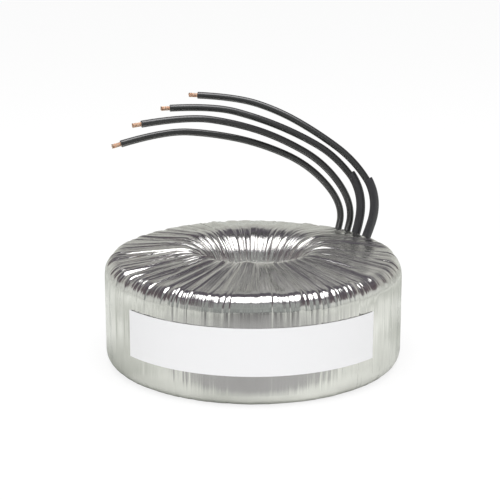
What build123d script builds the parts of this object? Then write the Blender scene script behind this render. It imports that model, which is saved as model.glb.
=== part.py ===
import os
from collections import namedtuple
from math import atan2, cos, degrees, pi, radians, sin, sqrt, tan

from build123d import *

# A toroidal power transformer: a ring of wound steel strip under two windings, the whole
# wrapped in silvery film. It lies flat, its hole along Z, with its underside at Z = 0.

# The wrapped ring
outer_radius = 100.0
bore_radius = 27.5
rim_height = 70.3  # of the upper slope, carried on to the side wall
crown_front = 77.8  # of the upper slope, carried on to the hole, at the front
crown_back = 79.8
upper_edge_radius = 11.5
lower_edge_radius = 8.2
lip_front = 12.0  # radius of the hole's upper lip: tight at the front
lip_back = 30.0  # and loose at the back
lower_lip_radius = 8.0

# Film: laid on in strips that lap each other like tiles, and bunched up in the hole
film_outside = 1.6
film_in_bore = 5.0
strip_count = 44
strip_lift = 0.75  # how far a strip's free edge stands over the next strip, at the rim
lift_variation = 0.35
strip_wander = 0.3  # how far a strip's edge strays, in pitches
upper_flat_count = 4  # in which the film turns round each upper edge
lower_flat_count = 3
top_shave = 0.02  # that trues each strip's upper slope to a plane
bore_trim = 0.2  # what the round hole takes off the film's flats

# Windings: the build of each layer outside, in the hole and at the two ends
bundle_count = 24
lip_bevel = 12.0  # of the windings, under the loose film at the hole's upper lip
secondary_outside = 12.0
secondary_in_bore = 13.0
secondary_ends = 7.0
insulation_build = 0.9
primary_outside = 5.0
primary_in_bore = 8.0
primary_ends = 4.5
core_cover = 1.1
layer_gap = 0.1

# Paper label
label_width = 176.0
label_height = 31.0
label_bottom = 21.0
label_thickness = 0.2
label_gap = 0.05
label_middle = -91.25  # degrees about Z

# Leads: insulated stranded copper, and open sleeving over two of them
lead_diameter = 4.6
tube_sides = 6
conductor_diameter = 3.0
bare_length = 6.5
socket_depth = 5.0
sleeve_diameter = 6.2
sleeve_bore = 5.2
sleeve_tuck = 5.0  # how far the sleeving reaches back past the end of its lead
fit_gap = 0.05
exit_gap = 0.15

# Soldered joints between the leads and the windings, in a pocket of the secondary
joint_diameter = 4.2
joint_length = 6.5
tail_diameter = 2.4
tail_sink = 1.5
tail_gap = 0.1
pocket_depth = 11.4  # from the film's outside
pocket_bottom = 30.0
pocket_top = 54.0
pocket_margin = 5.0  # degrees, beyond the outer joints

# Each lead's route, from its joint under the film to the end of its insulation. The first
# two points give the straight stretch that comes out through the side wall.
chosen_routes = [
    [(54, 78, 42), (61, 88, 58), (66, 88, 84), (41, 86, 114)]
    + [(5, 81, 131), (-29, 76, 139), (-62, 70, 142), (-93, 62, 134)],
    [(60, 74, 42), (67, 83, 58), (73, 83, 85), (52, 83, 116)]
    + [(18, 79, 136), (-13, 73, 147), (-46, 66, 153), (-78, 57, 149)],
    [(65, 69, 42), (74, 78, 58), (80, 77, 95), (59, 80, 122)]
    + [(33, 82, 137), (4, 82, 149), (-28, 80, 158), (-59, 76, 157)],
    [(71, 63, 42), (80, 71, 58), (90, 70, 92), (73, 77, 119)]
    + [(46, 84, 138), (18, 90, 153), (-12, 94, 162), (-40, 96, 163)],
]
route_radius = 100.0  # of the ring that the routes were chosen for
exit_angle = 48.0  # degrees about Z, of the side where the leads come out
primary_leads = (3, 4)  # the two with sleeving
bend_share = 0.45  # of the shorter of its two runs that each bend takes up

Layer = namedtuple("Layer", "inner outer bottom top")


def inside(layer, outside_build, bore_build, end_build):
    """The room that is left in a layer once it has its build on every side."""
    return Layer(
        layer.inner + bore_build,
        layer.outer - outside_build,
        layer.bottom + end_build,
        layer.top - end_build,
    )


def clear_of(room):
    """What lies in a room, a layer's gap clear of it all round."""
    return inside(room, layer_gap, layer_gap, layer_gap)


def carried_out(route):
    """A route moved outwards by as much as the ring is wider than the one it was chosen for."""
    move = outer_radius - route_radius
    sideways, back = move * cos(radians(exit_angle)), move * sin(radians(exit_angle))
    return [(x + sideways, y + back, z) for x, y, z in route]


lead_routes = [carried_out(route) for route in chosen_routes]
pocket_floor = outer_radius - pocket_depth
winding_room = Layer(
    bore_radius + film_in_bore,
    outer_radius - film_outside,
    film_outside,
    min(rim_height, crown_front, crown_back) - film_outside,
)
secondary = clear_of(winding_room)
secondary_room = inside(secondary, secondary_outside, secondary_in_bore, secondary_ends)
insulation = clear_of(secondary_room)
insulation_room = inside(insulation, insulation_build, insulation_build, insulation_build)
primary = clear_of(insulation_room)
primary_room = inside(primary, primary_outside, primary_in_bore, primary_ends)
cover = clear_of(primary_room)
cover_room = inside(cover, core_cover, core_cover, core_cover)
steel = clear_of(cover_room)


def rounded_corner(corner, before, after, radius, flats):
    """Points on the arc that rounds a corner of the film's outline, tangent to both its sides."""
    to_before = (before - corner).normalized()
    to_after = (after - corner).normalized()
    half_angle = radians(to_before.get_angle(to_after)) / 2
    centre = corner + (to_before + to_after).normalized() * (radius / sin(half_angle))
    first = corner + to_before * (radius / tan(half_angle)) - centre
    turn = 180 - 2 * degrees(half_angle)
    return [centre + first.rotate(Axis.Z, turn * i / flats) for i in range(flats + 1)]


def front_to_back(front, back, angle):
    """A size that changes evenly from the front to the back, at an angle about Z."""
    return front + (back - front) * (1 + sin(radians(angle))) / 2


def crown(angle):
    return front_to_back(crown_front, crown_back, angle)


def film_section(angle, lift):
    """The film's outline in the half plane at an angle about Z. The upper slope is lifted in
    proportion to the distance from Z, so that the top of a strip doesn't twist."""
    lower_inner = Vector(bore_radius - bore_trim, 0)
    lower_outer = Vector(outer_radius, 0)
    upper_outer = Vector(outer_radius, rim_height + lift)
    upper_inner = Vector(lower_inner.X, crown(angle) + lift * lower_inner.X / outer_radius)
    upper_lip = front_to_back(lip_front, lip_back, angle)
    outline = [
        *rounded_corner(lower_inner, upper_inner, lower_outer, lower_lip_radius, lower_flat_count),
        *rounded_corner(lower_outer, lower_inner, upper_outer, lower_edge_radius, lower_flat_count),
        *rounded_corner(upper_outer, lower_outer, upper_inner, upper_edge_radius, upper_flat_count),
        *rounded_corner(upper_inner, upper_outer, lower_inner, upper_lip, upper_flat_count),
    ]
    with BuildSketch(Plane.XZ.rotated((0, 0, angle))) as section:
        with BuildLine():
            Polyline(*outline, close=True)
        make_face()
    return section.sketch


def strip_edge(number):
    """The angle at which a strip's low edge lies, under the free edge of the strip before it."""
    stray = strip_wander * sin(2.4 * (number % strip_count))
    return 360 / strip_count * (number + stray)


def peak(angle):
    """The height at which the upper slope at an angle about Z would meet Z."""
    fall = (crown(angle) - rim_height) / (outer_radius - bore_radius + bore_trim)
    return rim_height + fall * outer_radius


def top_plane(number, lift):
    """The plane to which a strip's upper slope is trued, just below its two sides."""
    start, end = strip_edge(number), strip_edge(number + 1)
    meeting = min(peak(start), peak(end))
    low_side = Vector(outer_radius, 0, rim_height - meeting).rotate(Axis.Z, start)
    free_side = Vector(outer_radius, 0, rim_height + lift - meeting).rotate(Axis.Z, end)
    return Plane(origin=(0, 0, meeting - top_shave), x_dir=low_side, z_dir=low_side.cross(free_side))


def bevel_under(edge_radius, flats):
    """The bevel that leaves the film its full thickness where it turns round an outer edge."""
    to_flats = edge_radius * cos(pi / 4 / flats)
    return 2 * (edge_radius - film_outside) - sqrt(2) * (to_flats - film_outside)


def bundled_plan(layer):
    """A layer seen from above, with the flat sides that bundles of turns give it."""
    with BuildSketch(Plane.XY.offset(layer.bottom)) as plan:
        RegularPolygon(layer.outer, bundle_count)
        RegularPolygon(layer.inner, bundle_count, mode=Mode.SUBTRACT)
    return plan.sketch


def height_of(layer):
    return layer.top - layer.bottom


def bevelled_ring(layer):
    """A bundled ring with bevelled edges, to lie under the film's rounded ones."""
    with BuildPart() as ring:
        extrude(bundled_plan(layer), amount=height_of(layer))
        upper_rim = edges().group_by(Axis.Z)[-1].group_by(SortBy.LENGTH)[-1]
        chamfer(upper_rim, length=bevel_under(upper_edge_radius, upper_flat_count))
        upper_lip_rim = edges().group_by(Axis.Z)[-1].group_by(SortBy.LENGTH)[0]
        chamfer(upper_lip_rim, length=lip_bevel)
        lower_rim = edges().group_by(Axis.Z)[0].group_by(SortBy.LENGTH)[-1]
        chamfer(lower_rim, length=bevel_under(lower_edge_radius, lower_flat_count))
    return ring.part


def start_plane(route):
    """The plane across a lead where its insulation starts, facing along the lead."""
    start, following = Vector(*route[0]), Vector(*route[1])
    return Plane(origin=start, z_dir=following - start)


def end_plane(route):
    """The plane across a lead where its insulation ends, facing away from the lead."""
    before, end = Vector(*route[-2]), Vector(*route[-1])
    return Plane(origin=end, z_dir=end - before)


def depth_to(radius, route):
    """How far a lead's first run, carried on inwards, goes to reach a radius about Z."""
    plane = start_plane(route)
    inwards = Vector(-plane.z_dir.X, -plane.z_dir.Y)
    start = Vector(plane.origin.X, plane.origin.Y)
    along, spare = start.dot(inwards), start.dot(start) - radius**2
    level = inwards.dot(inwards)
    return (-along - sqrt(along**2 - level * spare)) / level


def tail_end(number):
    """How far inwards of its lead a joint's tail ends, a little way into its winding."""
    surface = primary.outer if number in primary_leads else pocket_floor
    return depth_to(surface, lead_routes[number - 1]) + tail_sink


def hole_section(plane, radius):
    """A hole's many-sided section, that a bar of the given radius just fits."""
    with BuildSketch(plane) as hole:
        RegularPolygon(radius, tube_sides, major_radius=False)
    return hole.sketch


def tail_hole(number):
    """The section of the hole in which a joint's tail lies, on the plane where its lead starts."""
    return hole_section(start_plane(lead_routes[number - 1]), tail_diameter / 2 + tail_gap)


def bend_radii(route):
    """The radius of each bend, as large as its two runs allow."""
    radii = []
    for before, corner, after in zip(route, route[1:], route[2:]):
        arriving = Vector(*corner) - Vector(*before)
        leaving = Vector(*after) - Vector(*corner)
        half_turn = radians(arriving.get_angle(leaving)) / 2
        radii.append(bend_share * min(arriving.length, leaving.length) / tan(half_turn))
    return radii


def polygon_area(diameter):
    """The area of a tube's many-sided section."""
    return tube_sides / 2 * (diameter / 2) ** 2 * sin(2 * pi / tube_sides)


os.makedirs("parts", exist_ok=True)
lead_numbers = range(1, len(lead_routes) + 1)
room_ring = bevelled_ring(winding_room)
secondary_ring = bevelled_ring(secondary)

# Film: a strip at a time round the ring, each low where it starts and lifted at its free edge
film_strips = []
for number in range(strip_count):
    low_edge = film_section(strip_edge(number), 0)
    lift = strip_lift + lift_variation * sin(1.7 * number)
    free_edge = film_section(strip_edge(number + 1), lift)
    with BuildPart() as film_strip:
        loft(sections=[low_edge, free_edge], ruled=True)
        split(bisect_by=top_plane(number, lift), keep=Keep.BOTTOM)
    film_strips.append(film_strip.part)

with BuildPart() as outer_wrap:
    add(film_strips)
    add(room_ring, mode=Mode.SUBTRACT)
    with BuildSketch(Plane.XY):
        Circle(bore_radius)
    extrude(amount=crown_back, mode=Mode.SUBTRACT)
    for number, route in zip(lead_numbers, lead_routes):
        passing = sleeve_diameter if number in primary_leads else lead_diameter
        exit_hole = hole_section(start_plane(route), passing / 2 + exit_gap)
        first_run = Vector(*route[1]) - Vector(*route[0])
        extrude(exit_hole, amount=first_run.length, mode=Mode.SUBTRACT)
outer_wrap.part.label = "outer_wrap"
export_step(outer_wrap.part, "parts/outer_wrap.step")

# Secondary winding, with the pocket that holds the soldered joints
start_angles = [degrees(atan2(route[0][1], route[0][0])) for route in lead_routes]
pocket_start = min(start_angles) - pocket_margin
pocket_turn = max(start_angles) + pocket_margin - pocket_start
with BuildPart() as secondary_winding:
    add(secondary_ring)
    extrude(bundled_plan(secondary_room), amount=height_of(secondary_room), mode=Mode.SUBTRACT)
    with BuildSketch(Plane.XZ.rotated((0, 0, pocket_start))):
        with Locations((pocket_floor, pocket_bottom)):
            Rectangle(outer_radius - pocket_floor, pocket_top - pocket_bottom, align=Align.MIN)
    revolve(axis=Axis.Z, revolution_arc=pocket_turn, mode=Mode.SUBTRACT)
    for number in lead_numbers:
        extrude(tail_hole(number), amount=-tail_end(number) - tail_gap, mode=Mode.SUBTRACT)
secondary_winding.part.label = "secondary_winding"
export_step(secondary_winding.part, "parts/secondary_winding.step")

with BuildPart() as interwinding_insulation:
    extrude(bundled_plan(insulation), amount=height_of(insulation))
    extrude(bundled_plan(insulation_room), amount=height_of(insulation_room), mode=Mode.SUBTRACT)
    for number in primary_leads:
        extrude(tail_hole(number), amount=-tail_end(number) - tail_gap, mode=Mode.SUBTRACT)
interwinding_insulation.part.label = "interwinding_insulation"
export_step(interwinding_insulation.part, "parts/interwinding_insulation.step")

with BuildPart() as primary_winding:
    extrude(bundled_plan(primary), amount=height_of(primary))
    extrude(bundled_plan(primary_room), amount=height_of(primary_room), mode=Mode.SUBTRACT)
    for number in primary_leads:
        extrude(tail_hole(number), amount=-tail_end(number) - tail_gap, mode=Mode.SUBTRACT)
primary_winding.part.label = "primary_winding"
export_step(primary_winding.part, "parts/primary_winding.step")

with BuildPart() as core_insulation:
    extrude(bundled_plan(cover), amount=height_of(cover))
    extrude(bundled_plan(cover_room), amount=height_of(cover_room), mode=Mode.SUBTRACT)
core_insulation.part.label = "core_insulation"
export_step(core_insulation.part, "parts/core_insulation.step")

# Core: a ring of steel strip, wound tight
with BuildPart() as core:
    with BuildSketch(Plane.XY.offset(steel.bottom)):
        Circle(steel.outer * cos(pi / bundle_count))
        Circle(steel.inner, mode=Mode.SUBTRACT)
    extrude(amount=height_of(steel))
core.part.label = "core"
export_step(core.part, "parts/core.step")

# Paper label, bent round the side wall
label_turn = degrees(label_width / outer_radius)
with BuildPart() as label:
    with BuildSketch(Plane.XZ.rotated((0, 0, label_middle - label_turn / 2))):
        with Locations((outer_radius + label_gap, label_bottom)):
            Rectangle(label_thickness, label_height, align=Align.MIN)
    revolve(axis=Axis.Z, revolution_arc=label_turn)
label.part.label = "label"
export_step(label.part, "parts/label.step")

# Leads, with the conductor that shows at the far end and the joint at the near end
for number, route in zip(lead_numbers, lead_routes):
    with BuildPart() as lead:
        with BuildLine():
            path = FilletPolyline(*route, radius=bend_radii(route))
        with BuildSketch(start_plane(route)):
            RegularPolygon(lead_diameter / 2, tube_sides)
        sweep()
        swept_volume = lead.part.volume
        for end in (start_plane(route), end_plane(route)):
            socket = hole_section(end, conductor_diameter / 2 + fit_gap)
            extrude(socket, amount=socket_depth, both=True, mode=Mode.SUBTRACT)
    lead.part.label = f"lead_{number}"
    export_step(lead.part, f"parts/lead_{number}.step")
    radii_text = ", ".join(f"{radius:.0f}" for radius in bend_radii(route))
    section_times_length = polygon_area(lead_diameter) * path.length
    print(f"lead_{number}: {path.length:.1f} mm long, bend radii {radii_text} mm")
    print(f"  swept {swept_volume:.0f} mm3, section times length {section_times_length:.0f} mm3")

    with BuildPart() as conductor:
        with BuildSketch(end_plane(route).offset(fit_gap - socket_depth)):
            RegularPolygon(conductor_diameter / 2, tube_sides)
        extrude(amount=socket_depth - fit_gap + bare_length)
    conductor.part.label = f"conductor_{number}"
    export_step(conductor.part, f"parts/conductor_{number}.step")

    with BuildPart() as solder_joint:
        with BuildSketch(start_plane(route)):
            RegularPolygon(conductor_diameter / 2, tube_sides)
        extrude(amount=socket_depth - fit_gap)
        with BuildSketch(start_plane(route)):
            RegularPolygon(tail_diameter / 2, tube_sides)
        extrude(amount=-tail_end(number))
        with BuildSketch(start_plane(route).offset(-fit_gap)):
            RegularPolygon(joint_diameter / 2, tube_sides)
        extrude(amount=-joint_length)
    solder_joint.part.label = f"solder_joint_{number}"
    export_step(solder_joint.part, f"parts/solder_joint_{number}.step")

# Open sleeving over the first stretch of the primary leads, in the leads' own bends
for number in primary_leads:
    route = lead_routes[number - 1]
    tucked_end = start_plane(route).offset(-sleeve_tuck)
    open_end = (Vector(*route[2]) + Vector(*route[3])) / 2
    with BuildPart() as sleeve:
        with BuildLine():
            FilletPolyline(tucked_end.origin, route[1], route[2], open_end, radius=bend_radii(route)[:2])
        with BuildSketch(tucked_end):
            RegularPolygon(sleeve_diameter / 2, tube_sides)
            RegularPolygon(sleeve_bore / 2, tube_sides, mode=Mode.SUBTRACT)
        sweep()
    sleeve.part.label = f"sleeve_{number}"
    export_step(sleeve.part, f"parts/sleeve_{number}.step")
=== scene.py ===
import math
import random

import bmesh
import bpy
from mathutils import Matrix, Vector


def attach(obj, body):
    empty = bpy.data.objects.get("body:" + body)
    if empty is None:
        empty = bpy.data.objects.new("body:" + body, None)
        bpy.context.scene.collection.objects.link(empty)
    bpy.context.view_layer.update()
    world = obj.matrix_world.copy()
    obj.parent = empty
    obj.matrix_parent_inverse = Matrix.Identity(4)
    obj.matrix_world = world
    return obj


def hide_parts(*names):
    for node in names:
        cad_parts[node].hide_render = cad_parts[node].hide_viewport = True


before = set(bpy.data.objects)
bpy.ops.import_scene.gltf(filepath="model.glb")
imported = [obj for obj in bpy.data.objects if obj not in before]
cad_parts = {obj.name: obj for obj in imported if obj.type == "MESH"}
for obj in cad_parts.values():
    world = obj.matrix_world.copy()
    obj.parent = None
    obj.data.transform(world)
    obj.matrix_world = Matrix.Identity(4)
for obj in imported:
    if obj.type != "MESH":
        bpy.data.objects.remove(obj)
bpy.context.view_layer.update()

# A ring-shaped transformer in silvery film, lying flat, with four leads hanging over it.
# Lengths are in metres; the mm factor turns the sizes below into metres.
mm = 0.001


# Node trees are written as sums: a Wire is one socket, and sums on it add Math nodes.
class Wire:
    def __init__(self, graph, socket):
        self.graph = graph
        self.socket = socket

    def __add__(self, other):
        return self.graph.maths("ADD", self, other)

    def __radd__(self, other):
        return self.graph.maths("ADD", other, self)

    def __sub__(self, other):
        return self.graph.maths("SUBTRACT", self, other)

    def __rsub__(self, other):
        return self.graph.maths("SUBTRACT", other, self)

    def __mul__(self, other):
        return self.graph.maths("MULTIPLY", self, other)

    def __rmul__(self, other):
        return self.graph.maths("MULTIPLY", other, self)

    def __truediv__(self, other):
        return self.graph.maths("DIVIDE", self, other)

    def __rtruediv__(self, other):
        return self.graph.maths("DIVIDE", other, self)

    def __neg__(self):
        return self.graph.maths("MULTIPLY", self, -1.0)


class Graph:
    def __init__(self, tree):
        self.tree = tree

    # Adds any node: its settings first, then the values or wires of its sockets
    def node(self, kind, settings=None, inputs=None, output=0):
        made = self.tree.nodes.new(kind)
        for name, value in (settings or {}).items():
            if name == "stops":
                self.setStops(made.color_ramp, value)
            else:
                setattr(made, name, value)
        for key, value in (inputs or {}).items():
            if isinstance(value, Wire):
                self.tree.links.new(value.socket, made.inputs[key])
            else:
                made.inputs[key].default_value = value
        return Wire(self, made.outputs[output])

    def setStops(self, ramp, stops):
        while len(ramp.elements) < len(stops):
            ramp.elements.new(1.0)
        for element, (place, colour) in zip(ramp.elements, stops):
            element.position = place
            element.color = (*colour, 1.0)

    def maths(self, operation, *values):
        return self.node("ShaderNodeMath", {"operation": operation}, dict(enumerate(values)))

    def vectorMaths(self, operation, *values):
        return self.node("ShaderNodeVectorMath", {"operation": operation}, dict(enumerate(values)))

    # 0 below low, 1 above high, smooth between; the other way round if low is above high
    def step(self, value, low, high):
        flip = low > high
        settings = {"interpolation_type": "SMOOTHSTEP"}
        ends = {"From Min": min(low, high), "From Max": max(low, high)}
        ends.update({"To Min": 1.0, "To Max": 0.0} if flip else {"To Min": 0.0, "To Max": 1.0})
        return self.node("ShaderNodeMapRange", settings, {"Value": value, **ends})

    def noise(self, vector, scale, detail=2.0, rough=0.5):
        inputs = {"Vector": vector, "Scale": scale, "Detail": detail, "Roughness": rough}
        return self.node("ShaderNodeTexNoise", None, inputs)

    def mixColour(self, factor, first, second):
        made = self.node("ShaderNodeMix", {"data_type": "RGBA"}, {0: factor})
        mixer = made.socket.node
        # The colours of this node are its inputs 6 and 7 and its output 2
        for key, value in ((6, first), (7, second)):
            if isinstance(value, Wire):
                self.tree.links.new(value.socket, mixer.inputs[key])
            else:
                mixer.inputs[key].default_value = (*value, 1.0)
        return Wire(self, mixer.outputs[2])

    def bump(self, height, strength, distance):
        inputs = {"Height": height, "Strength": strength, "Distance": distance}
        return self.node("ShaderNodeBump", None, inputs)


def newMaterial(name, paint):
    material = bpy.data.materials.new(name)
    material.use_nodes = True
    tree = material.node_tree
    tree.nodes.clear()
    graph = Graph(tree)
    surface = paint(graph)
    output = tree.nodes.new("ShaderNodeOutputMaterial")
    tree.links.new(surface.socket, output.inputs["Surface"])
    return material


def principled(graph, inputs):
    return graph.node("ShaderNodeBsdfPrincipled", None, inputs)


def objectPoint(graph):
    return graph.node("ShaderNodeTexCoord", output="Object")


# The three numbers of a vector
def threeParts(graph, vector):
    split = graph.node("ShaderNodeSeparateXYZ", None, {0: vector}).socket.node
    return [Wire(graph, end) for end in split.outputs]


# The finished piece: rides on the one body, stands for its solid, and takes its finish
def settle(piece, slotName, material, *stoodFor):
    if material is not None:
        piece.data.materials.clear()
        piece.data.materials.append(material)
    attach(piece, "root")
    if stoodFor:
        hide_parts(*stoodFor)
    return piece


def meshPiece(name, points, faces, smooth=True):
    mesh = bpy.data.meshes.new(name)
    mesh.from_pydata([tuple(p) for p in points], [], faces)
    mesh.update()
    piece = bpy.data.objects.new(name, mesh)
    bpy.context.scene.collection.objects.link(piece)
    if smooth:
        mesh.polygons.foreach_set("use_smooth", [True] * len(mesh.polygons))
    return piece


# Camera, at the photograph's height and distance
cameraValues = {
    "position": Vector((-0.0022, -0.9214, 0.3292)),
    "pitch": math.radians(74.52),
    "lens": 102.55,
    "sensor": 36.0,
    "reach": (0.05, 50.0),
}


def makeCamera(values):
    data = bpy.data.cameras.new("camera")
    data.lens = values["lens"]
    data.sensor_width = values["sensor"]
    data.clip_start, data.clip_end = values["reach"]
    camera = bpy.data.objects.new("camera", data)
    camera.location = values["position"]
    camera.rotation_euler = (values["pitch"], 0.0, 0.0)
    bpy.context.scene.collection.objects.link(camera)
    bpy.context.scene.camera = camera


makeCamera(cameraValues)
print("camera made")

# Leads: each one's route from its joint under the film to the end of its insulation
leadValues = {
    "diameter": 5.0 * mm,
    "wrapRadius": 100.0 * mm,
    "routes": [
        [(54, 78, 42), (61, 88, 58), (66, 88, 84), (41, 86, 114)]
        + [(5, 81, 131), (-29, 76, 139), (-62, 70, 142), (-93, 62, 134)],
        [(60, 74, 42), (67, 83, 58), (73, 83, 85), (52, 83, 116)]
        + [(18, 79, 136), (-13, 73, 147), (-46, 66, 153), (-78, 57, 149)],
        [(65, 69, 42), (74, 78, 58), (80, 77, 95), (59, 80, 122)]
        + [(33, 82, 137), (4, 82, 149), (-28, 80, 158), (-59, 76, 157)],
        [(71, 63, 42), (80, 71, 58), (90, 70, 92), (73, 77, 119)]
        + [(46, 84, 138), (18, 90, 153), (-12, 94, 162), (-40, 96, 163)],
    ],
    "lengths": [0.2247, 0.2228, 0.2153, 0.2110],
    "cutRounding": 0.5 * mm,
    "cutTurns": (0.0, 30.0, 60.0, 90.0),  # degrees round the cut's edge where a ring lies
    "sides": 24,
    "ringsPerRun": 14,
}


def metres(route):
    return [Vector(point) * mm for point in route]


def smoothCurve(name, points):
    curve = bpy.data.curves.new(name, "CURVE")
    curve.dimensions = "3D"
    spline = curve.splines.new("NURBS")
    spline.points.add(len(points) - 1)
    for place, point in zip(spline.points, points):
        place.co = (*point, 1.0)
    spline.order_u = 3
    spline.use_endpoint_u = True
    spline.resolution_u = leadValues["ringsPerRun"]
    return curve


def pointsAlong(points):
    curve = smoothCurve("route", points)
    holder = bpy.data.objects.new("route", curve)
    mesh = bpy.data.meshes.new_from_object(holder)
    line = [vertex.co.copy() for vertex in mesh.vertices]
    bpy.data.objects.remove(holder)
    bpy.data.meshes.remove(mesh)
    bpy.data.curves.remove(curve)
    return line


# Frames that turn with the line but don't spin about it
def framesAlong(line):
    frames = []
    side = None
    for i, point in enumerate(line):
        ahead = line[min(i + 1, len(line) - 1)] - line[max(i - 1, 0)]
        tangent = ahead.normalized()
        if side is None:
            side = tangent.cross(Vector((0.0, 1.0, 0.0))).normalized()
        side = (side - tangent * side.dot(tangent)).normalized()
        frames.append((point, tangent, side, tangent.cross(side)))
    return frames


# A tube through rings of (place along, radius, offset along the line), open at both ends
def sweepRings(frames, rings, sides):
    points, faces = [], []
    for index, radius, shift in rings:
        point, tangent, side, up = frames[index]
        for k in range(sides):
            turn = 2 * math.pi * k / sides
            outwards = side * math.cos(turn) + up * math.sin(turn)
            points.append(point + tangent * shift + outwards * radius)
    count = len(rings)
    for j in range(count - 1):
        for k in range(sides):
            a, b = j * sides + k, j * sides + (k + 1) % sides
            faces.append((a, b, b + sides, a + sides))
    return points, faces


def capEnds(points, faces, sides):
    last = len(points) - sides
    faces.append(tuple(range(sides))[::-1])
    faces.append(tuple(range(last, last + sides)))


def facingOut(piece):
    work = bmesh.new()
    work.from_mesh(piece.data)
    bmesh.ops.recalc_face_normals(work, faces=work.faces)
    work.to_mesh(piece.data)
    work.free()


def writeAlong(piece, frames, sides, ringPlaces):
    # Distance along the lead and angle round it, for finishes that follow the lead
    lengths = [0.0]
    for (before, *_), (after, *_) in zip(frames, frames[1:]):
        lengths.append(lengths[-1] + (after - before).length)
    attribute = piece.data.attributes.new("alongLead", "FLOAT_VECTOR", "POINT")
    values = []
    for index, shift in ringPlaces:
        for k in range(sides):
            values += [lengths[index] + shift, k / sides, 0.0]
    attribute.data.foreach_set("vector", values)


def makeLead(number, route):
    line = pointsAlong(metres(route))
    frames = framesAlong(line)
    radius = leadValues["diameter"] / 2
    rounding = leadValues["cutRounding"]
    last = len(frames) - 1
    rings = [(i, radius, 0.0) for i in range(last)]
    for turn in leadValues["cutTurns"]:
        angle = math.radians(turn)
        inward = rounding * (1 - math.cos(angle))
        rings.append((last, radius - inward, rounding * (math.sin(angle) - 1)))
    points, faces = sweepRings(frames, rings, leadValues["sides"])
    capEnds(points, faces, leadValues["sides"])
    piece = meshPiece(f"leadInsulation{number}", points, faces)
    writeAlong(piece, frames, leadValues["sides"], [(i, shift) for i, _, shift in rings])
    facingOut(piece)
    return piece, line, frames


leads = []
for number, route in enumerate(leadValues["routes"], start=1):
    leads.append(makeLead(number, route))
print("leads made")


# Film: the outline that it is wrapped to, and how deep its folds are on each stretch
filmValues = {
    "outerRadius": 99.95 * mm,
    "boreRadius": 27.6 * mm,
    "rimHeight": 71.0 * mm,
    "radii": {"lowerLip": 8.0, "lowerEdge": 8.2, "upperEdge": 11.5},
    "front": {"lip": 12.0, "crown": 78.0},
    "back": {"lip": 30.0, "crown": 80.0},
    "columns": 1440,
    # Steps that each stretch of the outline is cut into; the top's first ones are its rim
    "steps": {"foot": 5, "wall": 8, "edge": 9, "top": 11, "lip": 11, "hole": 7, "under": 5, "floor": 4},
    "rimSteps": 5,
    "laps": 44,
    "seed": 4.7,
    "lapDepth": 0.7 * mm,
    "pleatDepth": 1.1 * mm,
    "creaseDepth": 0.42 * mm,
    "gatherDepth": 1.0 * mm,
    "rippleDepth": 0.18 * mm,
    "crumpleDepth": 1.1 * mm,
    "lift": 0.96 * mm,
    "swirl": 0.06,
    "swirlFrom": 0.1,
    "swirlRate": 14.0,
    # Shares of the laps, pleats, creases, gathers and ripples, from the wall's foot to the hole
    "shares": {
        "foot": (0.4, 0.04, 0.4, 0.0, 1.0),
        "wall": (0.6, 0.05, 0.55, 0.0, 1.0),
        "edge": (1.0, 0.8, 1.4, 0.0, 1.0),
        "rim": (1.0, 1.2, 0.6, 0.0, 0.3),
        "crown": (1.0, 0.9, 0.2, 0.3, 0.1),
        "lip": (0.9, 0.3, 0.15, 1.0, 0.1),
        "hole": (0.8, 0.3, 0.15, 1.0, 0.1),
        "under": (0.0, 0.0, 0.0, 0.0, 0.0),
    },
    "blendings": 5,  # rounds in which each place's shares are blended with those beside it
    # Noise on a ring: its size sets how many folds fit round, its drift how fast they stray
    "patterns": {
        "stray": {"size": 1.6, "drift": 9.0, "shift": 3.0},
        "lapStray": {"size": 5.0, "drift": 2.0, "shift": 7.0},
        "pleats": {"size": 6.5, "drift": 9.0, "shift": 11.0, "width": 0.2, "detail": 0.0},
        "creases": {"size": 25.0, "drift": 10.0, "shift": 17.0, "width": 0.13, "detail": 0.0},
        "gathers": {"size": 8.5, "drift": 16.0, "shift": 23.0, "width": 0.2, "detail": 1.0},
        "ripples": {"size": 17.0, "drift": 6.0, "shift": 29.0},
        "facets": {"size": 3.4, "drift": 60.0, "shift": 41.0},
        "pleatPatches": {"size": 2.2, "drift": 12.0, "shift": 31.0, "low": 0.35, "high": 0.6},
        "creasePatches": {"size": 6.0, "drift": 20.0, "shift": 37.0, "low": 0.42, "high": 0.62},
    },
    "bend": 0.16,  # of the folds, in radians
    "lapBend": 2.2,  # of the laps, in laps
    "lapRise": 0.95,  # share of a lap over which it rises
    "lapLeast": 0.25,  # share of the lap depth that the shallowest lap has
    "pleatLeast": 0.6,
    "creaseLeast": 0.25,
}


# Points round a corner of the outline, tangent to its two sides
def roundCorner(corner, before, after, radius, count):
    toBefore = (before - corner).normalized()
    toAfter = (after - corner).normalized()
    half = toBefore.angle(toAfter) / 2
    centre = corner + (toBefore + toAfter).normalized() * (radius / math.sin(half))
    first = corner + toBefore * (radius / math.tan(half)) - centre
    turn = math.pi - 2 * half
    places = []
    for i in range(count + 1):
        arm = first.copy()
        arm.rotate(Matrix.Rotation(turn * i / count, 2))
        places.append(centre + arm)
    return places


def between(start, end, count):
    return [start.lerp(end, i / count) for i in range(1, count)]


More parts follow.
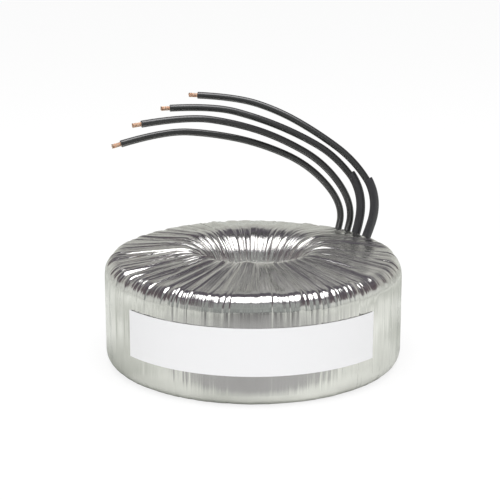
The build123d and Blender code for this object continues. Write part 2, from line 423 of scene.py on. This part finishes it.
# The outline once round: foot, wall, edge, top, lip, hole and underside
def filmOutline(values, hole):
    radii = {name: size * mm for name, size in values["radii"].items()}
    lowerInner = Vector((values["boreRadius"], 0.0))
    lowerOuter = Vector((values["outerRadius"], 0.0))
    upperOuter = Vector((values["outerRadius"], values["rimHeight"]))
    upperInner = Vector((values["boreRadius"], hole["crown"] * mm))
    steps, rimSteps = values["steps"], values["rimSteps"]
    foot = roundCorner(lowerOuter, lowerInner, upperOuter, radii["lowerEdge"], steps["foot"])
    edge = roundCorner(upperOuter, lowerOuter, upperInner, radii["upperEdge"], steps["edge"])
    lip = roundCorner(upperInner, upperOuter, lowerInner, hole["lip"] * mm, steps["lip"])
    under = roundCorner(lowerInner, upperInner, lowerOuter, radii["lowerLip"], steps["under"])
    wall = between(foot[-1], edge[0], steps["wall"])
    top = between(edge[-1], lip[0], steps["top"])
    bore = between(lip[-1], under[0], steps["hole"])
    floor = between(under[-1], foot[0], steps["floor"])
    stretches = [("foot", foot), ("wall", wall), ("edge", edge)]
    stretches += [("rim", top[:rimSteps]), ("crown", top[rimSteps:])]
    stretches += [("lip", lip), ("hole", bore), ("under", under), ("under", floor)]
    return [(place, name) for name, places in stretches for place in places]


# Each place's outward direction, and how far along the outline it lies
def alongOutline(places):
    outward, along, travelled = [], [], 0.0
    for i, place in enumerate(places):
        step = places[(i + 1) % len(places)] - places[i - 1]
        outward.append(Vector((step.y, -step.x)).normalized())
        along.append(travelled)
        travelled += (places[(i + 1) % len(places)] - place).length
    return outward, along


def filmBase(values):
    outline = filmOutline(values, values["front"])
    loose = [place for place, _ in filmOutline(values, values["back"])]
    rows, columns = len(outline), values["columns"]
    tight = [place for place, _ in outline]
    outward, along = alongOutline(tight)
    # Shares change gently from stretch to stretch
    shares = [list(values["shares"][name]) for _, name in outline]
    for _ in range(values["blendings"]):
        neighbours = zip(shares[-1:] + shares[:-1], shares, shares[1:] + shares[:1])
        shares = [[(a + 2 * b + c) / 4 for a, b, c in zip(*three)] for three in neighbours]
    points, facing, folds, gathers, path = [], [], [], [], []
    for i in range(rows):
        for k in range(columns):
            turn = 2 * math.pi * k / columns
            c, s = math.cos(turn), math.sin(turn)
            # The lip is tight at the front and loose at the back
            place = tight[i].lerp(loose[i], (1 + s) / 2)
            points.append((place.x * c, place.x * s, place.y))
            facing += [outward[i].x * c, outward[i].x * s, outward[i].y]
            folds += shares[i][:3]
            gathers += [*shares[i][3:], 0.0]
            path.append(along[i])
    faces = []
    for i in range(rows):
        low, high = i * columns, (i + 1) % rows * columns
        for k in range(columns):
            after = (k + 1) % columns
            faces.append((low + k, low + after, high + after, high + k))
    piece = meshPiece("film", points, faces)
    for name, kind, store, numbers in (
        ("facing", "FLOAT_VECTOR", "vector", facing),
        ("foldShares", "FLOAT_VECTOR", "vector", folds),
        ("gatherShares", "FLOAT_VECTOR", "vector", gathers),
        ("acrossFilm", "FLOAT", "value", path),
    ):
        attribute = piece.data.attributes.new(name, kind, "POINT")
        attribute.data.foreach_set(store, numbers)
    return piece


def socketNames(tree, names):
    tree.interface.new_socket("Geometry", in_out="INPUT", socket_type="NodeSocketGeometry")
    for name in names:
        tree.interface.new_socket(name, in_out="INPUT", socket_type="NodeSocketFloat")
    tree.interface.new_socket("Material", in_out="INPUT", socket_type="NodeSocketMaterial")
    tree.interface.new_socket("Geometry", in_out="OUTPUT", socket_type="NodeSocketGeometry")


# Runs a node group on a piece with the given inputs, and keeps the plain mesh that comes out
def grow(piece, tree, inputs):
    modifier = piece.modifiers.new(tree.name, "NODES")
    modifier.node_group = tree
    identifiers = {}
    for item in tree.interface.items_tree:
        if item.item_type == "SOCKET" and item.in_out == "INPUT":
            identifiers[item.name] = item.identifier
    for name, value in inputs.items():
        modifier[identifiers[name]] = value
    bpy.context.view_layer.update()
    evaluated = piece.evaluated_get(bpy.context.evaluated_depsgraph_get())
    mesh = bpy.data.meshes.new_from_object(evaluated)
    piece.modifiers.remove(modifier)
    old = piece.data
    piece.data = mesh
    bpy.data.meshes.remove(old)
    return piece


# Laps, pleats, creases and ripples, each a depth that the film is pushed in by
def foldTree(values):
    tree = bpy.data.node_groups.new("filmFolds", "GeometryNodeTree")
    depths = ["Lap depth", "Pleat depth", "Crease depth", "Gather depth", "Ripple depth", "Crumple depth"]
    names = ["Laps", *depths, "Lift", "Swirl", "Seed"]
    socketNames(tree, names)
    graph = Graph(tree)
    patterns = values["patterns"]
    entry = tree.nodes.new("NodeGroupInput")
    given = {name: Wire(graph, entry.outputs[name]) for name in names}

    def stored(name, kind="FLOAT"):
        return graph.node("GeometryNodeInputNamedAttribute", {"data_type": kind}, {"Name": name})

    x, y, _ = threeParts(graph, graph.node("GeometryNodeInputPosition"))
    lapShare, pleatShare, creaseShare = threeParts(graph, stored("foldShares", "FLOAT_VECTOR"))
    gatherShare, rippleShare, _ = threeParts(graph, stored("gatherShares", "FLOAT_VECTOR"))
    across = stored("acrossFilm")

    radius = graph.maths("SQRT", x * x + y * y)
    swirl = given["Swirl"] * (radius - values["swirlFrom"]) * values["swirlRate"]
    turn = graph.maths("ARCTAN2", y, x) + swirl

    # A point on a ring of the given size, so that a pattern closes up; it drifts along the film
    def ringPoint(angle, size, drift, shift):
        inputs = {0: graph.maths("COSINE", angle) * size, 1: graph.maths("SINE", angle) * size}
        inputs[2] = across * drift + given["Seed"] + shift
        return graph.node("ShaderNodeCombineXYZ", None, inputs)

    stray = graph.noise(ringPoint(turn, **patterns["stray"]), 1.0, 1.0) - 0.5
    bent = turn + stray * values["bend"]

    lapStray = graph.noise(ringPoint(turn, **patterns["lapStray"]), 1.0, 1.0) - 0.5
    # A whole number is added, so that laps on both sides of the turn's end count upwards
    lapCount = turn * given["Laps"] / (2 * math.pi) + lapStray * values["lapBend"] + 100.0
    lapPlace = graph.maths("FRACT", lapCount)
    chance = {"W": graph.maths("FLOOR", lapCount)}
    lapSize = graph.node("ShaderNodeTexWhiteNoise", {"noise_dimensions": "1D"}, chance)
    fall = 1.0 - values["lapRise"]
    rise = graph.maths("MINIMUM", lapPlace / values["lapRise"], (1.0 - lapPlace) / fall)
    size = values["lapLeast"] + lapSize * (1.0 - values["lapLeast"])
    laps = (1.0 - rise) * size * given["Lap depth"] * lapShare

    # Narrow valleys where the noise crosses its middle
    def valleys(width, detail, **ring):
        wave = graph.noise(ringPoint(bent, **ring), 1.0, detail)
        apart = graph.maths("ABSOLUTE", wave - 0.5)
        return graph.maths("MAXIMUM", 1.0 - apart / width, 0.0)

    # Strength that comes and goes round the ring, never below the least
    def patches(least, low, high, **ring):
        return least + graph.step(graph.noise(ringPoint(turn, **ring), 1.0, 1.0), low, high) * (1.0 - least)

    pleats = valleys(**patterns["pleats"]) * given["Pleat depth"] * pleatShare
    pleats = pleats * patches(values["pleatLeast"], **patterns["pleatPatches"])
    creases = valleys(**patterns["creases"]) * given["Crease depth"] * creaseShare
    creases = creases * patches(values["creaseLeast"], **patterns["creasePatches"])
    gathered = valleys(**patterns["gathers"]) * given["Gather depth"] * gatherShare
    wave = graph.noise(ringPoint(bent, **patterns["ripples"]), 1.0, 2.0)
    ripples = wave * given["Ripple depth"] * rippleShare
    # Facets where the film is bunched up round the hole
    facets = {"Vector": ringPoint(bent, **patterns["facets"]), "Scale": 1.0, "Randomness": 1.0}
    cells = graph.node("ShaderNodeTexVoronoi", {"feature": "F1", "voronoi_dimensions": "3D"}, facets)
    crumples = cells * given["Crumple depth"] * gatherShare

    # Round the hole the folds stand out as much as they lie in
    depth = laps + pleats + creases + gathered + ripples + crumples - given["Lift"] * gatherShare
    push = graph.vectorMaths("SCALE", stored("facing", "FLOAT_VECTOR"))
    tree.links.new((-depth).socket, push.socket.node.inputs["Scale"])
    moved = graph.node("GeometryNodeSetPosition")
    mover = moved.socket.node
    tree.links.new(entry.outputs["Geometry"], mover.inputs["Geometry"])
    tree.links.new(push.socket, mover.inputs["Offset"])
    real = graph.node("GeometryNodeRealizeInstances", None, {"Geometry": moved})
    painted = graph.node("GeometryNodeSetMaterial", None, {"Geometry": real})
    tree.links.new(entry.outputs["Material"], painted.socket.node.inputs["Material"])
    leave = tree.nodes.new("NodeGroupOutput")
    tree.links.new(painted.socket, leave.inputs["Geometry"])
    return tree


# Noise for the finishes: rougher and finer than a plain one
fineNoise = {"detail": 3.0, "rough": 0.6}

# The film's finish: fine streaks everywhere, and broader upright bands on the wall alone
filmFinish = {
    "dull": (0.80, 0.79, 0.77),
    "bright": (0.88, 0.87, 0.85),
    "mottleScale": 28.0,
    "mottleEnds": (0.35, 0.7),
    "rough": 0.10,
    "roughRange": 0.10,
    "streakRing": 60.0,
    "streakDrift": 25.0,
    "streakEnds": (0.3, 0.8),
    "bandRing": 17.0,
    "bandDrift": 5.0,
    "bandDetail": 1.5,
    "bandHeight": 2.6,
    "wallTop": (0.085, 0.065),  # along the film from its foot, in metres, where the bands fade
    "bump": (0.5, 0.6 * mm),  # strength and depth, here and in the finishes below
}


def paintFilm(graph):
    point = objectPoint(graph)
    x, y, _ = threeParts(graph, point)
    across = graph.node("ShaderNodeAttribute", {"attribute_name": "acrossFilm"}, output=2)
    angle = graph.maths("ARCTAN2", y, x)

    # A point on a ring of the given size, so that a pattern closes up
    def ringPoint(size, drift):
        inputs = {0: graph.maths("COSINE", angle) * size, 1: graph.maths("SINE", angle) * size}
        return graph.node("ShaderNodeCombineXYZ", None, {**inputs, 2: across * drift})

    streakPoint = ringPoint(filmFinish["streakRing"], filmFinish["streakDrift"])
    streaks = graph.noise(streakPoint, 1.0, **fineNoise)
    onWall = graph.step(across, *filmFinish["wallTop"])
    bandPoint = ringPoint(filmFinish["bandRing"], filmFinish["bandDrift"])
    bands = graph.noise(bandPoint, 1.0, filmFinish["bandDetail"], fineNoise["rough"])
    bands = bands * onWall * filmFinish["bandHeight"]
    mottle = graph.noise(point, filmFinish["mottleScale"], **fineNoise)
    mottle = graph.step(mottle, *filmFinish["mottleEnds"])
    colour = graph.mixColour(mottle, filmFinish["dull"], filmFinish["bright"])
    rough = filmFinish["rough"] + graph.step(streaks, *filmFinish["streakEnds"]) * filmFinish["roughRange"]
    normal = graph.bump(streaks + bands, *filmFinish["bump"])
    inputs = {"Base Color": colour, "Metallic": 1.0, "Roughness": rough, "Normal": normal}
    return principled(graph, inputs)


filmMaterial = newMaterial("silvery film", paintFilm)


def makeFilm(values):
    piece = filmBase(values)
    inputs = {
        "Laps": float(values["laps"]),
        "Lap depth": values["lapDepth"],
        "Pleat depth": values["pleatDepth"],
        "Crease depth": values["creaseDepth"],
        "Gather depth": values["gatherDepth"],
        "Ripple depth": values["rippleDepth"],
        "Crumple depth": values["crumpleDepth"],
        "Lift": values["lift"],
        "Swirl": values["swirl"],
        "Seed": values["seed"],
        "Material": filmMaterial,
    }
    grow(piece, foldTree(values), inputs)
    piece.data.polygons.foreach_set("use_smooth", [True] * len(piece.data.polygons))
    return piece


film = settle(makeFilm(filmValues), "film", None, "outer_wrap")
print("film made", len(film.data.polygons))


# Paper label
paperFinish = {
    "colour": (0.90, 0.90, 0.91, 1.0),
    "rough": 0.45,
    "fibreScale": 900.0,
    "bump": (0.06, 0.2 * mm),
}


def paintPaper(graph):
    fibres = graph.noise(objectPoint(graph), paperFinish["fibreScale"], **fineNoise)
    normal = graph.bump(fibres, *paperFinish["bump"])
    inputs = {"Base Color": paperFinish["colour"], "Roughness": paperFinish["rough"], "Normal": normal}
    return principled(graph, inputs)


paperMaterial = newMaterial("label paper", paintPaper)

# Leads' finishes: insulation with a shine on it, duller sleeving, and copper with a little stain
insulationFinish = {
    "colour": (0.004, 0.004, 0.005, 1.0),
    "rough": 0.38,
    "roughRange": 0.10,
    "dragMarks": (90.0, 9.0, 1.0),  # in a metre along the lead and once round it; the third has no use
    "bump": (0.05, 0.5 * mm),
    "specular": 0.7,
    "coatRough": 0.16,
    "coatIndex": 1.7,
}
sleevingFinish = {
    "colour": (0.020, 0.019, 0.025, 1.0),
    "rough": 0.44,
    "grainScale": 700.0,
    "bump": (0.08, 0.3 * mm),
}
copperFinish = {
    "clean": (0.82, 0.50, 0.34),
    "stained": (0.74, 0.60, 0.49),
    "rough": 0.32,
    "stainScale": 500.0,
    "stainEnds": (0.35, 0.75),
}


def paintInsulation(graph):
    along = graph.node("ShaderNodeAttribute", {"attribute_name": "alongLead"}, output=1)
    drag = graph.noise(graph.vectorMaths("MULTIPLY", along, insulationFinish["dragMarks"]), 1.0, 2.0)
    rough = insulationFinish["rough"] + drag * insulationFinish["roughRange"]
    normal = graph.bump(drag, *insulationFinish["bump"])
    inputs = {"Base Color": insulationFinish["colour"], "Roughness": rough, "Normal": normal}
    inputs["Specular IOR Level"] = insulationFinish["specular"]
    inputs["Coat Weight"] = 1.0
    inputs["Coat Roughness"] = insulationFinish["coatRough"]
    inputs["Coat IOR"] = insulationFinish["coatIndex"]
    return principled(graph, inputs)


def paintSleeving(graph):
    grain = graph.noise(objectPoint(graph), sleevingFinish["grainScale"], rough=fineNoise["rough"])
    normal = graph.bump(grain, *sleevingFinish["bump"])
    inputs = {"Base Color": sleevingFinish["colour"], "Roughness": sleevingFinish["rough"]}
    inputs.update({"Normal": normal, "Specular IOR Level": 1.0})
    return principled(graph, inputs)


def paintCopper(graph):
    stain = graph.noise(objectPoint(graph), copperFinish["stainScale"], **fineNoise)
    stain = graph.step(stain, *copperFinish["stainEnds"])
    colour = graph.mixColour(stain, copperFinish["clean"], copperFinish["stained"])
    inputs = {"Base Color": colour, "Metallic": 1.0, "Roughness": copperFinish["rough"]}
    return principled(graph, inputs)


insulationMaterial = newMaterial("black insulation", paintInsulation)
sleevingMaterial = newMaterial("sleeving", paintSleeving)
copperMaterial = newMaterial("bare copper", paintCopper)

# Sleeves: open tubes over the last two leads
sleeveValues = {
    "outer": 6.5 * mm,
    "inner": 5.5 * mm,
    "tuck": 5.0 * mm,
    "sides": 28,
    "leads": (3, 4),
    # The open end stands up a little where the lead leans out of it
    "endLean": Vector((0.5, 0.0, 0.9)) * mm,
}


def makeSleeve(number, route, values):
    points = metres(route)
    start = points[0] - (points[1] - points[0]).normalized() * values["tuck"]
    end = (points[2] + points[3]) / 2 + values["endLean"]
    frames = framesAlong(pointsAlong([start, points[1], points[2], end]))
    last = len(frames) - 1
    outer, inner = values["outer"] / 2, values["inner"] / 2
    lip = (outer - inner) / 3
    rings = [(i, outer, 0.0) for i in range(last)]
    rings += [(last, outer, -lip), (last, outer - lip / 2, 0.0)]
    rings += [(last, inner + lip / 2, 0.0), (last, inner, -lip)]
    rings += [(i, inner, 0.0) for i in range(last - 1, -1, -1)]
    points, faces = sweepRings(frames, rings, values["sides"])
    sides = values["sides"]
    foot = len(points) - sides
    for k in range(sides):
        after = (k + 1) % sides
        faces.append((foot + k, foot + after, after, k))
    piece = meshPiece(f"sleeve{number}", points, faces)
    facingOut(piece)
    return piece


# Bare ends of the leads: twisted strands, loosened a little where they were cut
tipValues = {
    "bare": 6.5 * mm,
    "socket": 5.0 * mm,
    "across": 3.0 * mm,
    "strandsPerRing": (1, 6, 12),
    "twist": 1.7,
    "ringTurn": 0.3,  # radians between one ring of strands and the next
    "flare": 0.14,
    "flareLeast": 0.3,  # share of the flare that the straightest strand has
    "uneven": 0.6 * mm,
    "sides": 8,
    "rings": 12,
    "seed": 11,
}


def makeTip(number, frames, values):
    point, tangent, side, up = frames[-1]
    thin = values["across"] / (4 * len(values["strandsPerRing"]) - 2)
    chance = random.Random(values["seed"] + number)
    points, faces = [], []
    for ring, count in enumerate(values["strandsPerRing"]):
        for k in range(count):
            reach = values["bare"] - chance.random() * values["uneven"]
            flare = values["flare"] * chance.uniform(values["flareLeast"], 1.0)
            line = []
            for j in range(values["rings"]):
                share = j / (values["rings"] - 1)
                away = -values["socket"] + (reach + values["socket"]) * share
                loose = 1 + flare * (max(away, 0.0) / values["bare"]) ** 2
                angle = 2 * math.pi * k / count + ring * values["ringTurn"] + values["twist"] * share
                across = (side * math.cos(angle) + up * math.sin(angle)) * (2 * thin * ring * loose)
                line.append(point + tangent * away + across)
            rings = [(j, thin, 0.0) for j in range(len(line))]
            strand, strandFaces = sweepRings(framesAlong(line), rings, values["sides"])
            capEnds(strand, strandFaces, values["sides"])
            faces += [tuple(i + len(points) for i in face) for face in strandFaces]
            points += strand
    piece = meshPiece(f"strands{number}", points, faces)
    facingOut(piece)
    return piece


for number, (lead, line, frames) in enumerate(leads, start=1):
    settle(lead, "lead_insulation", insulationMaterial, f"lead_{number}")
    tip = makeTip(number, frames, tipValues)
    settle(tip, "copper", copperMaterial, f"conductor_{number}")
    if number in sleeveValues["leads"]:
        sleeve = makeSleeve(number, leadValues["routes"][number - 1], sleeveValues)
        settle(sleeve, "sleeving", sleevingMaterial, f"sleeve_{number}")
    leadValues["lengths"][number - 1]


# Inner pieces and the ones that keep their CAD shape: colour, metallic, roughness, grain, its strength
nodeGrainDepth = 0.3 * mm
nodeFinishes = {
    "core": ("core steel", (0.42, 0.43, 0.45), 1.0, 0.35, 300.0, 0.1),
    "core_insulation": ("core tape", (0.75, 0.70, 0.50), 0.0, 0.4, 200.0, 0.1),
    "primary_winding": ("enamelled copper", (0.50, 0.20, 0.08), 0.6, 0.3, 400.0, 0.2),
    "interwinding_insulation": ("winding tape", (0.80, 0.76, 0.62), 0.0, 0.4, 200.0, 0.1),
    "solder_joint": ("solder", (0.65, 0.65, 0.66), 1.0, 0.3, 900.0, 0.2),
}


def plainPaint(colour, metallic, roughness, scale, strength):
    def paint(graph):
        grain = graph.noise(objectPoint(graph), scale, 2.0)
        normal = graph.bump(grain, strength, nodeGrainDepth)
        inputs = {"Base Color": (*colour, 1.0), "Metallic": metallic, "Roughness": roughness}
        return principled(graph, {**inputs, "Normal": normal})
    return paint


nodeMaterials = {}
for start, (finishName, *finish) in nodeFinishes.items():
    nodeMaterials[start] = newMaterial(finishName, plainPaint(*finish))
nodeMaterials["secondary_winding"] = nodeMaterials["primary_winding"]
nodeMaterials["conductor"] = copperMaterial
nodeMaterials["label"] = paperMaterial

for name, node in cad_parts.items():
    for start, material in nodeMaterials.items():
        if name.startswith(start):
            node.data.materials.clear()
            node.data.materials.append(material)
print("nodes finished")

# Floor, light and what the film reflects
lightValues = {
    "floorGlow": 0.80,
    "floorShade": 0.22,
    "floorLit": 0.78,
    "floorTint": (0.84, 0.86, 0.82),
    "floorDim": (0.47, 0.49, 0.45),
    # The floor in front as the film shows it: how pale near and far, and how wide
    "floorNear": 0.36,
    "floorFar": 0.19,
    "darkStart": (0.105, 0.125),
    "darkFull": (0.22, 0.42),
    "darkWidth": 0.15,
    "darkSpread": 0.3,
    "floorPatches": 7.0,
    "floorPatchEnds": (0.3, 0.7),
    "floorRough": 0.9,
    "floorSize": 8.0,
    "floorDrop": 0.05 * mm,  # keeps the floor clear of the ring's underside
    "fillBack": 0.45,
    "fillFront": 1.15,
    "lampPower": 8.0,
    "lampSize": (1.0, 0.9),
    "lampPlace": (0.0, -0.1, 1.3),
    # Uneven surroundings, which the film draws out into streaks
    "unevenLeast": 0.72,
    "unevenRange": 0.45,
    "unevenScale": 3.5,
    "unevenEnds": (0.3, 0.7),
    # Where the fill and what the film shows change from one side to another, from -1 to 1
    "fillEnds": (-0.2, 0.8),
    "behindEnds": (0.35, 0.8),
    "beforeEnds": (0.45, 0.85),
    # What shines on the film by height over the horizon, 0 to 1 for level to straight up
    "behind": [
        (0.0, (0.66, 0.67, 0.62)),
        (0.20, (0.50, 0.50, 0.47)),
        (0.33, (0.42, 0.42, 0.41)),
        (0.42, (0.12, 0.11, 0.13)),
        (0.72, (0.10, 0.09, 0.11)),
        (0.85, (0.60, 0.60, 0.60)),
    ],
    "beside": [
        (0.0, (0.68, 0.70, 0.66)),
        (0.20, (0.62, 0.63, 0.61)),
        (0.25, (0.15, 0.12, 0.13)),
        (0.72, (0.10, 0.09, 0.11)),
        (0.85, (0.60, 0.60, 0.60)),
    ],
    "before": [
        (0.0, (0.22, 0.23, 0.23)),
        (0.08, (0.32, 0.34, 0.33)),
        (0.50, (0.36, 0.38, 0.37)),
        (0.72, (0.30, 0.30, 0.32)),
        (0.85, (0.60, 0.60, 0.60)),
    ],
}


def paintFloor(graph):
    point = objectPoint(graph)
    x, y, _ = threeParts(graph, point)
    seen = graph.node("ShaderNodeLightPath", output="Is Camera Ray")
    # The middle of the floor in front is darker where the film shows it, and darkest further off
    width = lightValues["darkWidth"] - y * lightValues["darkSpread"]
    across = x / width
    middle = graph.maths("EXPONENT", -(across * across)) * graph.step(-y, *lightValues["darkStart"])
    near, far = (lightValues["floorNear"],) * 3, (lightValues["floorFar"],) * 3
    dark = graph.mixColour(graph.step(-y, *lightValues["darkFull"]), near, far)
    pale = (lightValues["floorLit"],) * 3
    patchy = graph.noise(point, lightValues["floorPatches"], 3.0)
    patchy = graph.step(patchy, *lightValues["floorPatchEnds"])
    tint = graph.mixColour(patchy, lightValues["floorDim"], lightValues["floorTint"])
    shown = graph.mixColour(middle, tint, dark)
    glossy = graph.node("ShaderNodeLightPath", output="Is Glossy Ray")
    lit = graph.mixColour(glossy, pale, shown)
    colour = graph.mixColour(seen, lit, (lightValues["floorShade"],) * 3)
    glow = graph.mixColour(seen, (0.0, 0.0, 0.0), (lightValues["floorGlow"],) * 3)
    inputs = {"Base Color": colour, "Roughness": lightValues["floorRough"], "Specular IOR Level": 0.0}
    return principled(graph, {**inputs, "Emission Color": glow, "Emission Strength": 1.0})


def makeFloor():
    size = lightValues["floorSize"]
    points = [(-size, -size, 0.0), (size, -size, 0.0), (size, size, 0.0), (-size, size, 0.0)]
    floor = meshPiece("floor", points, [(0, 1, 2, 3)], smooth=False)
    floor.location.z = -lightValues["floorDrop"]
    floor.data.materials.append(newMaterial("pale floor", paintFloor))


def makeWorld():
    world = bpy.data.worlds.new("studio")
    world.use_nodes = True
    tree = world.node_tree
    tree.nodes.clear()
    graph = Graph(tree)
    direction = graph.node("ShaderNodeTexCoord", output="Generated")
    x, y, z = threeParts(graph, direction)
    rise = graph.maths("ARCSINE", z) / (math.pi / 2)
    behind, beside, before = [
        graph.node("ShaderNodeValToRGB", {"stops": lightValues[name]}, {"Fac": rise})
        for name in ("behind", "beside", "before")
    ]
    # The last number keeps straight up from dividing by nothing
    facing = y / graph.maths("SQRT", x * x + y * y + 0.0001)
    front = graph.step(-facing, *lightValues["fillEnds"])
    around = graph.mixColour(graph.step(facing, *lightValues["behindEnds"]), beside, behind)
    shown = graph.mixColour(graph.step(-facing, *lightValues["beforeEnds"]), around, before)
    uneven = graph.noise(direction, lightValues["unevenScale"], 3.0)
    uneven = graph.step(uneven, *lightValues["unevenEnds"])
    uneven = lightValues["unevenLeast"] + uneven * lightValues["unevenRange"]
    shown = graph.vectorMaths("SCALE", shown)
    graph.tree.links.new(uneven.socket, shown.socket.node.inputs["Scale"])
    fill = graph.mixColour(front, (lightValues["fillBack"],) * 3, (lightValues["fillFront"],) * 3)
    seen = graph.node("ShaderNodeLightPath", output="Is Camera Ray")
    glossy = graph.node("ShaderNodeLightPath", output="Is Glossy Ray")
    indirect = graph.mixColour(glossy, fill, shown)
    colour = graph.mixColour(seen, indirect, (1.0, 1.0, 1.0))
    shine = graph.node("ShaderNodeBackground", None, {"Color": colour})
    output = tree.nodes.new("ShaderNodeOutputWorld")
    tree.links.new(shine.socket, output.inputs["Surface"])
    bpy.context.scene.world = world


def makeLamp():
    data = bpy.data.lights.new("softbox", "AREA")
    data.shape = "RECTANGLE"
    data.size, data.size_y = lightValues["lampSize"]
    data.energy = lightValues["lampPower"]
    lamp = bpy.data.objects.new("softbox", data)
    lamp.location = lightValues["lampPlace"]
    bpy.context.scene.collection.objects.link(lamp)


makeFloor()
makeWorld()
makeLamp()
bpy.context.scene.view_settings.view_transform = "Standard"
print("floor and light made")
